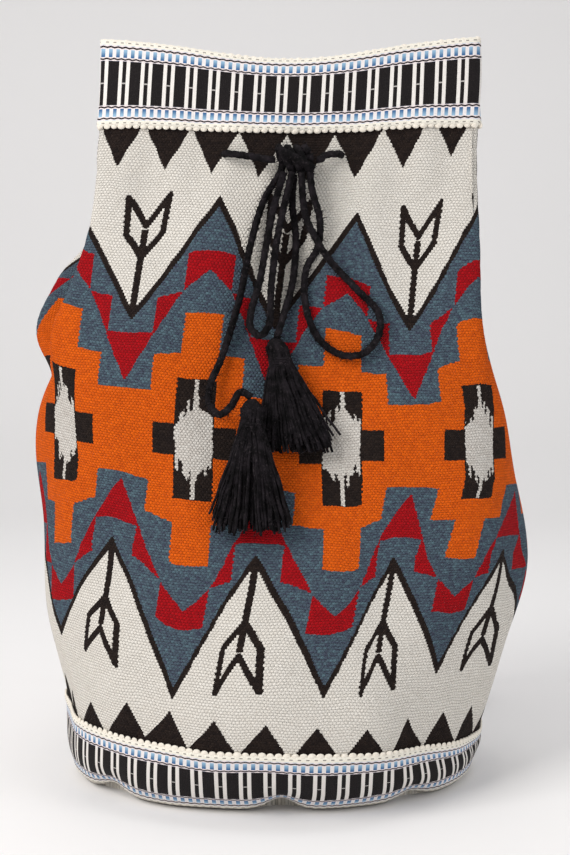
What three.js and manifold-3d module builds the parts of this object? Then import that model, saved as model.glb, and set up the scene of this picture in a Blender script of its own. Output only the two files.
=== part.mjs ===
// Bucket backpack of woven wool: a soft tube on an oval base, its mouth folded flat and tied
// with a wool cord. Millimetres, +Z up, front towards -Y, origin under the middle of the base.
import * as THREE from 'three';
import { mergeVertices } from 'three/addons/utils/BufferGeometryUtils.js';
import Module from 'manifold-3d';

const wasm = await Module();
wasm.setup();

// Driving sizes of the fabric
const girth = 720;            // round the woven tube
const trimHeight = 44;        // each ribbon
const bodyHeight = 347;       // woven cloth seen between the ribbons
const wall = 3;               // cloth and hem
const trimThickness = 1.2;
const seam = 0.45;            // clearance between pieces sewn or lying together
const baseThickness = 4;
const fabricHeight = bodyHeight + 2 * trimHeight;

// Driving sizes of the cords, tassels and straps
const cordDiameter = 4;
const holeDiameter = 7;
const holeBelowTrim = 14.5;
const knotRadius = 8;
const tasselHeadRadius = 5;
const tasselLength = 62;
const strapWidth = 28;
const strapThickness = 3.5;
const footTurn = 0.62;        // turn of the strap's width on the rounded foot, in radians

// Mesh density
const aroundSteps = 72;
const cordSides = 8;

// Sections of the standing bag. Each has the fabric height v as a share of the whole cloth, the
// side shift of its middle, then x, y of the front centre, front quarter, front crease, side fold,
// back crease, back quarter and back centre, then any of those that differ on the left,
// and the heights z of its front, right side, back and left side.
const knots = [0, 0.08, 0.155, 0.25, 0.345, 0.42, 0.5, 0.58, 0.655, 0.75, 0.845, 0.92];
const drawn = [
  { v: 0, cx: 0, right: [[0, -79], [54, -71], [95, -42], [112, 2], [95, 46], [54, 72], [0, 80]],
    z: [0, 0, 0, 0] },
  { v: 0.0506, cx: 0, right: [[0, -97], [58, -87], [101, -52], [119, 4], [99, 58], [57, 85], [0, 95]],
    z: [15, 16, 17, 20] },
  { v: 0.1138, cx: 0, right: [[0, -111], [59, -97], [102, -57], [121, 6], [102, 64], [58, 94], [0, 106]],
    z: [38, 27, 42, 44] },
  { v: 0.2299, cx: 3, right: [[0, -102], [57, -90], [110, -54], [134, 6], [108, 62], [57, 89], [0, 98]],
    z: [87, 78, 90, 92] },
  { v: 0.3448, cx: 8, right: [[0, -83], [56, -77], [114, -49], [141, 6], [110, 56], [56, 80], [0, 88]],
    z: [133, 127, 138, 141] },
  { v: 0.5, cx: 3, right: [[0, -58], [57, -56], [114, -40], [137, 4], [113, 56], [56, 70], [0, 74]],
    left: { side: [140, 4] }, z: [192, 192, 202, 208] },
  { v: 0.6023, cx: 2, right: [[0, -46], [57, -46], [117, -36], [121, 2], [121, 48], [56, 58], [0, 62]],
    left: { front: [126, -30], side: [116, 0], back: [141, 36] }, z: [236, 236, 244, 251] },
  { v: 0.6897, cx: 3, right: [[0, -38], [56, -38], [114, -30], [88, 3], [115, 40], [54, 50], [0, 53]],
    left: { front: [115, -24], side: [86, 3], back: [132, 34] }, z: [273, 274, 280, 286] },
  { v: 0.7885, cx: 6, right: [[0, -30], [54, -30], [111, -22], [60, 4], [111, 34], [52, 41], [0, 43]],
    left: { front: [106, -20], back: [108, 30] }, z: [318, 320, 322, 326] },
  { v: 0.8862, cx: 9, right: [[0, -25], [54, -26], [107, -18], [43, 3], [107, 28], [52, 33], [0, 34]],
    z: [360, 368, 364, 367] },
  { v: 1, cx: 10, right: [[0, -22], [54, -23], [105, -15], [35, 2], [105, 22], [52, 27], [0, 28]],
    z: [405, 431, 405, 429] },
];
const drawnHeight = 435;
const drawnGirth = 720;
const mouthSink = 20;         // how far the side folds sink at the mouth
// Where the cloth is tucked up at the base seam: side position, width and lift
const tucks = [{ x: -86, width: 9, lift: 5 }, { x: 5, width: 10, lift: 6 }, { x: 74, width: 9, lift: 4 }];

// The same sections at this girth and cloth height
const wider = girth / drawnGirth;
const taller = fabricHeight / drawnHeight;
const widen = ([x, y]) => [x * wider, y * wider];
const sections = drawn.map(({ v, cx, right, left = {}, z }) => ({
  v,
  cx: cx * wider,
  right: right.map(widen),
  left: Object.fromEntries(Object.entries(left).map(([k, p]) => [k, widen(p)])),
  z: z.map((level) => level * taller),
}));

// Smooth curve through values at knots, with slopes taken between the neighbours
function smooth(at, values, x, period = 0) {
  const n = at.length;
  const knot = (i) => {
    if (period) return at[(i + n) % n] + period * Math.floor(i / n);
    if (i < 0) return 2 * at[0] - at[1];
    return i < n ? at[i] : 2 * at[n - 1] - at[n - 2];
  };
  const value = (i) => {
    if (period) return values[(i + n) % n];
    if (i < 0) return values[0].map((a, k) => 2 * a - values[1][k]);
    return i < n ? values[i] : values[n - 1].map((a, k) => 2 * a - values[n - 2][k]);
  };
  const place = period ? ((x % period) + period) % period : x;
  let i = 0;
  while (i < (period ? n - 1 : n - 2) && knot(i + 1) <= place) i += 1;
  const h = knot(i + 1) - knot(i);
  const t = (place - knot(i)) / h;
  const slope = (j, k) => (value(j + 1)[k] - value(j - 1)[k]) / (knot(j + 1) - knot(j - 1));
  return value(i).map((a, k) => (2 * t ** 3 - 3 * t ** 2 + 1) * a
    + (t ** 3 - 2 * t ** 2 + t) * h * slope(i, k)
    + (3 * t ** 2 - 2 * t ** 3) * value(i + 1)[k]
    + (t ** 3 - t ** 2) * h * slope(i + 1, k));
}

// Control points of one section, all the way round
function outline({ cx, right, left }) {
  const [front, frontQuarter, frontCrease, side, backCrease, backQuarter, back] = right;
  const mirrored = [backQuarter, left.back ?? backCrease, left.side ?? side,
    left.front ?? frontCrease, frontQuarter];
  const all = [front, frontQuarter, frontCrease, side, backCrease, backQuarter, back];
  return [...all.map(([x, y]) => [cx + x, y]), ...mirrored.map(([x, y]) => [cx - x, y])].flat();
}

const heights = sections.map((s) => s.v * fabricHeight);
const outlines = sections.map(outline);
const levels = sections.map((s) => s.z);

// Points of the outer face at fabric height v, evenly spaced along the cloth
function ring(v, count) {
  const flat = smooth(heights, outlines, v);
  const control = knots.map((k, i) => [flat[2 * i], flat[2 * i + 1]]);
  const [front, right, back, left] = smooth(heights, levels, v);
  const dense = [];
  for (let i = 0; i <= 360; i += 1) {
    const [x, y] = smooth(knots, control, i / 360, 1);
    const turn = (i / 360) * 2 * Math.PI;
    const c = Math.cos(turn);
    const s = Math.sin(turn);
    const z = c * c * (c > 0 ? front : back) + s * s * (s > 0 ? right : left)
      - mouthSink * (v / fabricHeight) ** 6 * s ** 8;
    const fade = Math.max(0, 1 - v / 25);
    const tuck = c > 0 ? tucks.reduce((a, p) => a + p.lift * Math.exp(-(((x - p.x) / p.width) ** 2)), 0) : 0;
    dense.push(new THREE.Vector3(x, y + tuck * fade, z + tuck * fade));
  }
  const curve = new THREE.CurvePath();
  dense.slice(1).forEach((p, i) => curve.add(new THREE.LineCurve3(dense[i], p)));
  return Array.from({ length: count }, (_, i) => curve.getPoint(i / count));
}

// Fabric heights of the mesh rows, shared by the cloth and the ribbons sewn on it
const spread = (from, to, steps) => Array.from({ length: steps + 1 },
  (_, j) => from + ((to - from) * j) / steps);
const footTrimStart = 5.5;
const footTrimEnd = footTrimStart + trimHeight;
const topTrimStart = fabricHeight - trimHeight;
const bottomTrimRows = spread(footTrimStart, footTrimEnd, 3);
const topTrimRows = spread(topTrimStart, fabricHeight, 3);
const bodyRows = [0, ...bottomTrimRows,
  ...spread(footTrimEnd, topTrimStart, 16).slice(1, -1), ...topTrimRows];

// The rings at these fabric heights, pushed out along the cloth's normal
function shellRings(rows, push, count = aroundSteps) {
  const list = [];
  for (const v of rows) {
    const here = ring(v, count);
    const above = ring(Math.min(v + 2, fabricHeight), count);
    const below = ring(Math.max(v - 2, 0), count);
    list.push(here.map((p, i) => {
      const along = here[(i + 1) % count].clone().sub(here[(i + count - 1) % count]);
      const up = above[i].clone().sub(below[i]);
      return p.clone().addScaledVector(along.cross(up).normalize(), push);
    }));
  }
  return list;
}

// Closed solid from rings of points; a wrapped one joins its last ring to its first, and from
// ring `turned` on its faces are split along their other diagonal
function loft(rings, wrapped = false, turned = Infinity) {
  const count = rings[0].length;
  const positions = rings.flat().flatMap((p) => p.toArray());
  const index = [];
  const quad = (a, b, c, d, other) => index.push(...(other ? [b, c, d, b, d, a] : [a, b, c, a, c, d]));
  const last = wrapped ? rings.length : rings.length - 1;
  for (let j = 0; j < last; j += 1) {
    const next = (j + 1) % rings.length;
    for (let i = 0; i < count; i += 1) {
      const k = (i + 1) % count;
      quad(j * count + i, j * count + k, next * count + k, next * count + i, j >= turned);
    }
  }
  if (!wrapped) {
    [[0, -1], [rings.length - 1, 1]].forEach(([j, way]) => {
      const centre = rings[j].reduce((a, p) => a.add(p), new THREE.Vector3()).divideScalar(count);
      positions.push(...centre.toArray());
      const middle = positions.length / 3 - 1;
      for (let i = 0; i < count; i += 1) {
        const a = j * count + i;
        const b = j * count + ((i + 1) % count);
        index.push(...(way > 0 ? [a, b, middle] : [b, a, middle]));
      }
    });
  }
  const geometry = new THREE.BufferGeometry();
  geometry.setAttribute('position', new THREE.Float32BufferAttribute(positions, 3));
  geometry.setIndex(index);
  return geometry;
}

// A wall of cloth over these rows, from push `inner` to push `outer`
function band(rows, inner, outer) {
  const facing = shellRings(rows, inner).reverse();
  return loft([...shellRings(rows, outer), ...facing], true, rows.length);
}

function toManifold(source) {
  const clean = source.clone();
  clean.deleteAttribute('normal');
  clean.deleteAttribute('uv');
  const merged = mergeVertices(clean, 1e-4);
  return new wasm.Manifold(new wasm.Mesh({
    numProp: 3,
    vertProperties: new Float32Array(merged.attributes.position.array),
    triVerts: new Uint32Array(merged.index.array),
  }));
}

function fromManifold(solid) {
  const mesh = solid.getMesh();
  const geometry = new THREE.BufferGeometry();
  geometry.setAttribute('position', new THREE.Float32BufferAttribute(mesh.vertProperties, 3));
  geometry.setIndex(Array.from(mesh.triVerts));
  return geometry;
}

// Round tube along hand-chosen points
function cord(points, steps, diameter = cordDiameter) {
  const curve = new THREE.CatmullRomCurve3(points.map((p) => new THREE.Vector3(...p)), false, 'centripetal');
  const disc = new THREE.Shape();
  for (let i = 0; i < cordSides; i += 1) {
    const turn = (i / cordSides) * 2 * Math.PI;
    const [x, y] = [(Math.cos(turn) * diameter) / 2, (Math.sin(turn) * diameter) / 2];
    if (i) disc.lineTo(x, y);
    else disc.moveTo(x, y);
  }
  disc.closePath();
  return new THREE.ExtrudeGeometry(disc,
    { steps, extrudePath: curve, curveSegments: 1, bevelEnabled: false });
}

// Where the front of the cloth stands at height z, on the middle line
const frontLine = sections.map((s) => [s.right[0][1], s.z[0]]);
function inFront(x, z, stand) {
  const i = Math.max(1, frontLine.findIndex(([, level]) => level >= z));
  const [y0, z0] = frontLine[i - 1];
  const [y1, z1] = frontLine[i];
  return [x, y0 + ((y1 - y0) * (z - z0)) / (z1 - z0) - stand, z];
}

// Layers of cord on the cloth, each lying on the one below
const layer = (n) => seam + cordDiameter / 2 + 1.2 + n * (cordDiameter + 2 * seam);

// The woven tube with its two drawstring holes
const holeHeight = fabricHeight - trimHeight - holeBelowTrim;
const holes = { left: -27, right: 38 };
const rowAtHoles = ring(holeHeight, 1440);
const atHole = (x) => rowAtHoles.filter((p) => p.y < -5)
  .reduce((a, p) => (Math.abs(p.x - x) < Math.abs(a.x - x) ? p : a));

function bagBody() {
  let solid = toManifold(band(bodyRows, -wall, 0));
  Object.values(holes).forEach((x) => {
    const spot = atHole(x);
    const cutter = new THREE.CylinderGeometry(holeDiameter / 2, holeDiameter / 2, 8 * wall, 16);
    cutter.translate(spot.x, spot.y, spot.z);
    solid = solid.subtract(toManifold(cutter));
  });
  return fromManifold(solid);
}

// Flat oval base inside the foot of the tube
function basePanel() {
  const foot = ring(0, aroundSteps);
  const inset = (z) => foot.map((p) => {
    const r = Math.hypot(p.x, p.y);
    const share = (r - wall - 1.2 * seam) / r;
    return new THREE.Vector3(p.x * share, p.y * share, z);
  });
  return loft([inset(0), inset(baseThickness)]);
}

const knotPlace = inFront(13, 348 * taller, 9.5);
const knotHalf = 11;

// The cord from the knot through one hole, round inside the mouth and out of the other. Inside it
// cuts across the creases
const cordFromFace = wall + cordDiameter / 2 + 2;
function drawstring() {
  const clearOf = (p) => Math.min(...rowAtHoles.map((q) => Math.hypot(p.x - q.x, p.y - q.y)));
  const inside = shellRings([holeHeight], -cordFromFace, 2 * aroundSteps)[0];
  const start = atHole(holes.right);
  const end = atHole(holes.left);
  const bend = 14;
  const run = inside
    .filter((p) => clearOf(p) > cordFromFace - 0.8)
    .filter((p) => p.y > -10 || p.x > start.x + bend || p.x < end.x - bend)
    .map((p) => p.toArray());
  const [kx, ky, kz] = knotPlace;
  const passing = (spot, way) => [[kx + way * (knotHalf + seam), ky, kz],
    [kx + way * (knotHalf + 2.5), ky, kz],
    [spot.x - way * 9, spot.y - 5.5, spot.z - 1], [spot.x - way * 1.5, spot.y - 4, spot.z],
    [spot.x, spot.y + 1, spot.z], [spot.x + way * 3, spot.y + 7, spot.z]];
  return cord([...passing(start, 1), ...run, ...passing(end, -1).reverse()], 96);
}

// Wrapped knot: a short barrel swollen at its middle
function knot() {
  const rings = [];
  for (let j = 0; j <= 6; j += 1) {
    const x = -knotHalf + (2 * knotHalf * j) / 6;
    const r = knotRadius * Math.sqrt(1 - (x / (knotHalf + 2.5)) ** 2);
    rings.push(Array.from({ length: 12 }, (_, i) => {
      const turn = (i / 12) * 2 * Math.PI;
      return new THREE.Vector3(x, Math.cos(turn) * r * 0.72, Math.sin(turn) * r)
        .add(new THREE.Vector3(...knotPlace));
    }));
  }
  return loft(rings);
}

// Tassel: a bound head over a skirt of yarn that flattens on the cloth
function tassel(neckX, neckZ, footX, halfWidth, stand, length) {
  const rings = [];
  const profile = [[0, 0.35], [0.06, 1], [0.16, 1], [0.22, 0.75], [0.3, 1.1], [0.55, 2], [0.8, 2.7], [1, 3]];
  profile.forEach(([share, wide]) => {
    const z = neckZ - share * length;
    const x = neckX + (footX - neckX) * share;
    const rx = tasselHeadRadius * wide * (halfWidth / (3 * tasselHeadRadius)) ** share;
    const ry = Math.min(tasselHeadRadius * wide, 5.5);
    const lying = stand * (1 - 0.75 * THREE.MathUtils.smoothstep(share, 0.38, 1));
    const [cx, cy, cz] = inFront(x, z, lying + 5.5);
    rings.push(Array.from({ length: 14 }, (_, i) => {
      const turn = (i / 14) * 2 * Math.PI;
      return new THREE.Vector3(cx + Math.cos(turn) * rx, cy - Math.sin(turn) * ry, cz);
    }));
  });
  return loft(rings);
}

// Shoulder strap: flat webbing along points, its width turning to lie flat on the foot at its end
function strap(points, side) {
  const curve = new THREE.CatmullRomCurve3(points.map((p) => new THREE.Vector3(...p)), false, 'centripetal');
  const rings = [];
  const steps = 30;
  for (let j = 0; j <= steps; j += 1) {
    const p = curve.getPointAt(j / steps);
    const along = curve.getTangentAt(j / steps);
    const turn = footTurn * THREE.MathUtils.smoothstep(j / steps, 0.7, 0.95);
    const flat = new THREE.Vector3(Math.cos(turn), -side * Math.sin(turn), 0);
    const wide = flat.clone().addScaledVector(along, -flat.dot(along)).normalize();
    const thick = along.clone().cross(wide).normalize();
    const [a, b] = [strapWidth / 2, strapThickness / 2];
    rings.push([[-a, -b], [a, -b], [a, b], [-a, b]].map(([w, t]) => p.clone()
      .addScaledVector(wide, w).addScaledVector(thick, t)));
  }
  return loft(rings);
}

// Routes of the free cords, on the front of the cloth
const at = (list) => list.map(([x, z, n]) => inFront(x, z * taller, layer(n)));
const knotX = knotPlace[0];
const loopLeftRoute = at([[knotX - 6.5, 340.6, 1.9], [1, 322, 1.5], [-3, 302, 1], [-7, 280, 1],
  [-11.5, 264, 1], [-11.5, 255.5, 1], [-6.5, 251.5, 1], [-2, 256.5, 1], [-0.5, 278, 1], [2, 300, 1],
  [6, 320, 1.5], [knotX - 2, 340.6, 1.9]]);
const loopRightRoute = at([[knotX + 7.5, 340.6, 1.6], [22, 330, 1.6], [26, 315, 1.2], [25, 300, 0],
  [19, 289, 0], [17.5, 277, 0], [20, 261, 0], [26, 249, 0], [38, 241, 0], [50, 242, 0], [58, 252, 0],
  [58, 264, 0], [46, 277, 0.2], [31, 293, 1], [24, 304, 1.4], [18, 318, 1.3], [knotX + 2.8, 340.6, 1.9]]);
const tailLeftRoute = at([[knotX - 9.5, 342.4, 1], [-4.6, 326, 0.2], [-12, 301, 0], [-18, 271, 0],
  [-28, 238, 0], [-33, 226, 0.4], [-33.5, 215, 1.2], [-27.5, 209.5, 2.2], [-21.5, 214, 3],
  [-16.5, 221.5, 3.25], [-10.8, 218.9, 3.25]]);
const tailRightRoute = at([[knotX - 1, 340, 0.7], [11, 325, 0.1], [13, 304, 0], [11, 280, 0],
  [6, 262, 0.4], [2.5, 250, 0.8]]);

// A place on the back of the cloth, a stand-off away from it
function onBack(x, v, stand) {
  const spot = ring(v, 1440).filter((p) => p.y > 5)
    .reduce((a, p) => (Math.abs(p.x - x) < Math.abs(a.x - x) ? p : a));
  return [spot.x, spot.y + stand, spot.z];
}

// Straps sewn on the back, under the mouth and at the foot; each slack loop lies on the ground
const strapStand = seam + strapThickness / 2;
const footStand = strapStand + trimThickness + 2 * seam;
const behind = (x, y, z) => [x, y * wider, z * taller];
const strapRoute = (side, out) => [onBack(side * 24, topTrimStart - 17, strapStand + 0.5),
  onBack(side * 24.5, topTrimStart - 39, strapStand + 0.9),
  behind(side * 27, 62, 315), behind(side * 34, 94, 255), behind(side * 48, 128, 180),
  behind(side * 64, 156, 105), behind(side * out * 0.66, 176, 45), behind(side * out * 0.9, 184, 16),
  behind(side * (out + 2), 178, 8), behind(side * (out + 3), 160, strapThickness + 2.1),
  behind(side * (out - 8), 138, strapThickness + 2.2),
  behind(side * 76, 114, 8), onBack(side * 68, 24, footStand + 5.6), onBack(side * 66, 42, footStand + 3.5)];

const colours = { cloth: 0xe6e0d2, trim: 0x2b2526, black: 0x1f1b1c };
const bag = new THREE.Group();

function piece(name, geometry, color, roughness = 0.95) {
  const mesh = new THREE.Mesh(geometry, new THREE.MeshStandardMaterial({ color, roughness, metalness: 0 }));
  mesh.name = name;
  bag.add(mesh);
}

piece('bag_body', bagBody(), colours.cloth);
piece('base_panel', basePanel(), colours.cloth);
piece('top_trim', band(topTrimRows, seam, seam + trimThickness), colours.trim);
piece('bottom_trim', band(bottomTrimRows, seam, seam + trimThickness), colours.trim);
piece('drawstring', drawstring(), colours.black);
piece('knot', knot(), colours.black);
piece('bow_loop_left', cord(loopLeftRoute, 20), colours.black);
piece('bow_loop_right', cord(loopRightRoute, 30), colours.black);
piece('tail_left', cord(tailLeftRoute, 18), colours.black);
piece('tail_right', cord(tailRightRoute, 12), colours.black);
piece('tassel_left', tassel(-10.5, 216.5 * taller, -12, 19, 14, tasselLength + 4), colours.black);
piece('tassel_right', tassel(2, 249 * taller, 8, 20, 1.5, tasselLength - 4), colours.black);
piece('strap_left', strap(strapRoute(-1, 104), -1), colours.black);
piece('strap_right', strap(strapRoute(1, 128), 1), colours.black);

export default bag;
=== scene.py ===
# %% [markdown]
# A bucket backpack of woven wool, standing with its mouth folded flat. The solids of the part are
# loaded first as a fixed frame, so every piece made here goes where the frame says.

# %% Load the frame
import math

import bpy
import numpy as np
from mathutils import Matrix, Vector


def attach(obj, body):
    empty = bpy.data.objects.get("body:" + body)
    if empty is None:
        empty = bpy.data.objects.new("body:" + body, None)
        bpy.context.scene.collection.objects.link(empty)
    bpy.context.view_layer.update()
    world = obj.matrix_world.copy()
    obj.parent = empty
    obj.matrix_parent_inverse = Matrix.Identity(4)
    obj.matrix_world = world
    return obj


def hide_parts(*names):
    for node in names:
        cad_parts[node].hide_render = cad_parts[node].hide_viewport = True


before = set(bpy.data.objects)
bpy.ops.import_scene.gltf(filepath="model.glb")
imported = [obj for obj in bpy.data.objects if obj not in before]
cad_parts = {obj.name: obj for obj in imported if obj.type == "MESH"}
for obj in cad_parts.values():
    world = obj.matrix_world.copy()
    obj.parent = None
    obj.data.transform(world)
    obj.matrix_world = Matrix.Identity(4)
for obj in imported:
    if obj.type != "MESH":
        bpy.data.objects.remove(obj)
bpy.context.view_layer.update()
MM = 0.001

# %% [markdown]
# The camera stands about 0.8 m away at half the bag's height and looks a little down. Its place
# was found by trying, until the outlines agreed. The floor and wall are one pale sweep, lit by
# large soft lamps.

# %% Camera, sweep and lamps
scene = bpy.context.scene
PHOTO_FOCUS = 1400 / 855      # focal length as a share of the picture's height
DISTANCE, EYE, ASIDE = 0.81, 0.241, 0.007
LOOK_DOWN = math.atan(72.5 / 1400)


def add_camera():
    data = bpy.data.cameras.new("camera")
    data.sensor_fit = "AUTO"
    data.sensor_width = 36
    data.lens = 36 * PHOTO_FOCUS
    camera = bpy.data.objects.new("camera", data)
    camera.location = (ASIDE, -DISTANCE, EYE)
    camera.rotation_euler = (math.radians(90) - LOOK_DOWN, 0, 0)
    scene.collection.objects.link(camera)
    scene.camera = camera


def add_lamp(name, place, target, size, watts, colour):
    data = bpy.data.lights.new(name, "AREA")
    data.size = size
    data.energy = watts
    data.color = colour
    lamp = bpy.data.objects.new(name, data)
    lamp.location = place
    lamp.rotation_euler = (Vector(target) - Vector(place)).to_track_quat("-Z", "Y").to_euler()
    scene.collection.objects.link(lamp)


add_camera()
MIDDLE = (0, 0, 0.2)
add_lamp("key_lamp", (-1.1, -1.0, 1.15), MIDDLE, 1.0, 23, (1.0, 0.98, 0.96))
add_lamp("fill_lamp", (1.3, -0.9, 0.7), MIDDLE, 1.3, 6.5, (0.95, 0.97, 1.0))
add_lamp("top_lamp", (0.1, 0.35, 1.6), MIDDLE, 1.2, 6, (1, 1, 1))

# %% [markdown]
# Shader maths reads best as plain expressions, so one small class wraps a socket and turns
# operators into Math nodes. `node` adds any other node.

# %% Shader helper
class Value:
    """A number socket that takes part in Python expressions."""

    def __init__(self, maker, socket):
        self.maker, self.socket = maker, socket

    def _math(self, operation, other=None, first=None, third=None):
        a = self if first is None else first
        b = other if first is None else self
        return self.maker.math(operation, a, b, third)

    def __add__(self, other):
        return self._math("ADD", other)

    def __radd__(self, other):
        return self._math("ADD", first=other)

    def __sub__(self, other):
        return self._math("SUBTRACT", other)

    def __rsub__(self, other):
        return self._math("SUBTRACT", first=other)

    def __mul__(self, other):
        return self._math("MULTIPLY", other)

    def __rmul__(self, other):
        return self._math("MULTIPLY", first=other)

    def __truediv__(self, other):
        return self._math("DIVIDE", other)

    def __lt__(self, other):
        return self._math("LESS_THAN", other)

    def __gt__(self, other):
        return self._math("GREATER_THAN", other)

    def __abs__(self):
        return self._math("ABSOLUTE")

    def __mod__(self, other):
        return self._math("FLOORED_MODULO", other)

    def floor(self):
        return self._math("FLOOR")

    def at_least(self, other):
        return self._math("MAXIMUM", other)

    def at_most(self, other):
        return self._math("MINIMUM", other)

    def to_range(self, low, high):
        return self.maker.node("ShaderNodeMapRange", {"clamp": True},
                               {"Value": self, "From Min": low, "From Max": high})["Result"]


class Finish:
    """One material, built node by node."""

    def __init__(self, name, roughness=0.9):
        self.material = bpy.data.materials.new(name)
        self.material.use_nodes = True
        self.tree = self.material.node_tree
        self.shader = self.tree.nodes["Principled BSDF"]
        self.shader.inputs["Roughness"].default_value = roughness
        self.shader.inputs["Specular IOR Level"].default_value = 0.12

    def put(self, socket, value):
        value = value.socket if isinstance(value, Value) else value
        if isinstance(value, bpy.types.NodeSocket):
            self.tree.links.new(value, socket)
        else:
            socket.default_value = value

    def node(self, kind, settings=None, inputs=None):
        made = self.tree.nodes.new(kind)
        for key, value in (settings or {}).items():
            setattr(made, key, value)
        for key, value in (inputs or {}).items():
            self.put(made.inputs[key], value)
        return {s.name: Value(self, s) for s in made.outputs}

    def math(self, operation, a, b=None, c=None):
        made = self.tree.nodes.new("ShaderNodeMath")
        made.operation = operation
        for i, value in enumerate((a, b, c)):
            if value is not None:
                self.put(made.inputs[i], value)
        return Value(self, made.outputs[0])

    def mix(self, factor, below, above):
        made = self.tree.nodes.new("ShaderNodeMix")
        made.data_type = "RGBA"
        self.put(made.inputs[0], factor)
        self.put(made.inputs[6], below if isinstance(below, Value) else (*below, 1))
        self.put(made.inputs[7], above if isinstance(above, Value) else (*above, 1))
        return Value(self, made.outputs[2])

    def noise(self, vector, scale, detail=2.0):
        given = {"Vector": vector, "Scale": scale, "Detail": detail}
        return self.node("ShaderNodeTexNoise", {}, given)["Fac"]

    def join(self, x, y, z=0.0):
        return self.node("ShaderNodeCombineXYZ", {}, {"X": x, "Y": y, "Z": z})["Vector"]

    def curve(self, value, points, span):
        """A drawn curve through (place, amount) points, flat beyond 200 either side of nought."""
        made = self.tree.nodes.new("ShaderNodeFloatCurve")
        made.mapping.extend = "HORIZONTAL"
        line = made.mapping.curves[0]
        ordered = [(-200, 0), *points, (200, 0)]
        for x, _ in ordered[1:-1]:
            line.points.new(x / 400 + 0.5, 0.5)
        for spot, (x, y) in zip(line.points, ordered):
            spot.location = (x / 400 + 0.5, y / span / 2 + 0.5)
        made.mapping.update()
        self.put(made.inputs["Factor"], 1.0)
        self.put(made.inputs["Value"], value / 400 + 0.5)
        return (Value(self, made.outputs["Value"]) - 0.5) * (2 * span)

    def fabric_place(self, layer):
        uv = self.node("ShaderNodeUVMap", {"uv_map": layer})["UV"]
        parts = self.node("ShaderNodeSeparateXYZ", {}, {"Vector": uv})
        return parts["X"], parts["Y"]

    def object_place(self):
        return self.node("ShaderNodeTexCoord")["Object"]

    def done(self, colour, height=None, depth=0.0005):
        self.put(self.shader.inputs["Base Color"], colour)
        if height is not None:
            given = {"Height": height, "Distance": depth, "Strength": 1.0}
            bump = self.node("ShaderNodeBump", {}, given)
            self.put(self.shader.inputs["Normal"], bump["Normal"])
        return self.material


def ink(r, g, b):
    """A colour as seen on screen, turned into the linear light that shaders use."""
    return tuple(((c + 0.055) / 1.055) ** 2.4 if c > 0.04 else c / 12.92 for c in (r, g, b))


# %% [markdown]
# The standing shape is a stack of closed sections of the woven tube. Each section follows seven
# points a side: front, crease, side fold and back. The places along a section are the cloth's
# own coordinates. They keep their true length over the front. Drawn sections come out up to a
# seventh shorter than the cloth, or a little longer, and the sides and back take that up.

# %% Sections of the cloth
GIRTH, TRIM, CLOTH = 720.0, 44.0, 347.0
HEIGHT = CLOTH + 2 * TRIM
MID = HEIGHT / 2
WALL, SEAM, TRIM_THICK = 3.0, 0.45, 1.2
PERIOD = GIRTH / 9
KNOTS = [0, 0.08, 0.155, 0.25, 0.345, 0.42, 0.5, 0.58, 0.655, 0.75, 0.845, 0.92]


def section(v, cx, right, z, left=None):
    front, quarter, crease, side, back_crease, back_quarter, back = right
    left = left or {}
    mirrored = [back_quarter, left.get("back", back_crease), left.get("side", side),
                left.get("front", crease), quarter]
    points = [(cx + x, y) for x, y in right] + [(cx - x, y) for x, y in mirrored]
    return v * HEIGHT, points, z


SECTIONS = [
    section(0, 0, [(0, -79), (54, -71), (95, -42), (112, 2), (95, 46), (54, 72), (0, 80)], (0, 0, 0, 0)),
    section(0.0506, 0, [(0, -97), (58, -87), (101, -52), (119, 4), (99, 58), (57, 85), (0, 95)],
            (15, 16, 17, 20)),
    section(0.1138, 0, [(0, -111), (59, -97), (102, -57), (121, 6), (102, 64), (58, 94), (0, 106)],
            (38, 27, 42, 44)),
    section(0.2299, 3, [(0, -102), (57, -90), (110, -54), (134, 6), (108, 62), (57, 89), (0, 98)],
            (87, 78, 90, 92)),
    section(0.3448, 8, [(0, -83), (56, -77), (114, -49), (141, 6), (110, 56), (56, 80), (0, 88)],
            (133, 127, 138, 141)),
    section(0.5, 3, [(0, -58), (57, -56), (114, -40), (137, 4), (113, 56), (56, 70), (0, 74)],
            (192, 192, 202, 208), {"side": (140, 4)}),
    section(0.6023, 2, [(0, -46), (57, -46), (117, -36), (121, 2), (121, 48), (56, 58), (0, 62)],
            (236, 236, 244, 251), {"front": (126, -30), "side": (116, 0), "back": (141, 36)}),
    section(0.6897, 3, [(0, -38), (56, -38), (114, -30), (88, 3), (115, 40), (54, 50), (0, 53)],
            (273, 274, 280, 286), {"front": (115, -24), "side": (86, 3), "back": (132, 34)}),
    section(0.7885, 6, [(0, -30), (54, -30), (111, -22), (60, 4), (111, 34), (52, 41), (0, 43)],
            (318, 320, 322, 326), {"front": (106, -20), "back": (108, 30)}),
    section(0.8862, 9, [(0, -25), (54, -26), (107, -18), (43, 3), (107, 28), (52, 33), (0, 34)],
            (360, 368, 364, 367)),
    section(1, 10, [(0, -22), (54, -23), (105, -15), (35, 2), (105, 22), (52, 27), (0, 28)],
            (405, 431, 405, 429)),
]
MOUTH_SINK = 20    # how far the side folds sink at the mouth
TUCKS = [(-86, 9, 5), (5, 10, 6), (74, 9, 4)]
# Fabric coordinate at the front centre, which shifts a little up the bag because the cloth leans
LEAN = [(0, -24), (91.5, -26), (217.5, -34.5), (343.5, -43), (435, -47)]


FACE = 140    # cloth within this of the front centre keeps its true length; the rest is eased


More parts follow.
